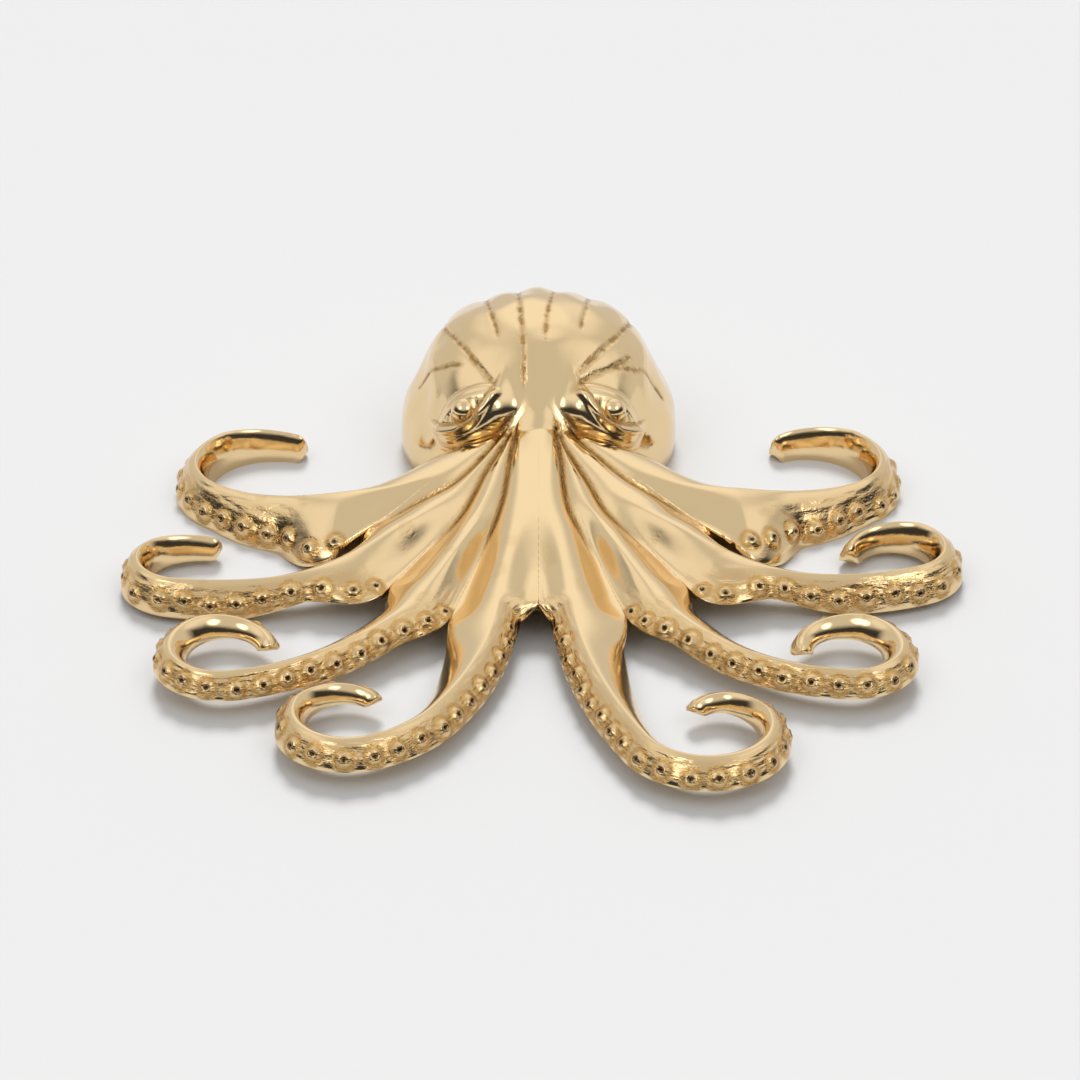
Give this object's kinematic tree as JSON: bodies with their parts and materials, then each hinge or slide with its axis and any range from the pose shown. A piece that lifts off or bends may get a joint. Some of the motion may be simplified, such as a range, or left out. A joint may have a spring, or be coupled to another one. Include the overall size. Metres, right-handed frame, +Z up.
{
  "type": "octopus figurine",
  "caption": "Hollow cast brass octopus ornament with a fluted domed mantle, two eyes and eight spread arms that end in curls.",
  "frame": {"origin": "centre of the footprint on the plane the ornament rests on", "axes": "+X to the ornament's left as seen from above with the curls toward the viewer, +Y from the curls toward the mantle's back, +Z up"},
  "size_m": [0.28, 0.2774, 0.0565],
  "materials": {
    "polished_brass": "polished"
  },
  "bodies": {
    "root": {"mantle": "polished_brass", "arm_left_1": "polished_brass", "arm_left_2": "polished_brass", "arm_left_3": "polished_brass", "arm_left_4": "polished_brass", "arm_right_1": "polished_brass", "arm_right_2": "polished_brass", "arm_right_3": "polished_brass", "arm_right_4": "polished_brass"}
  },
  "joints": []
}
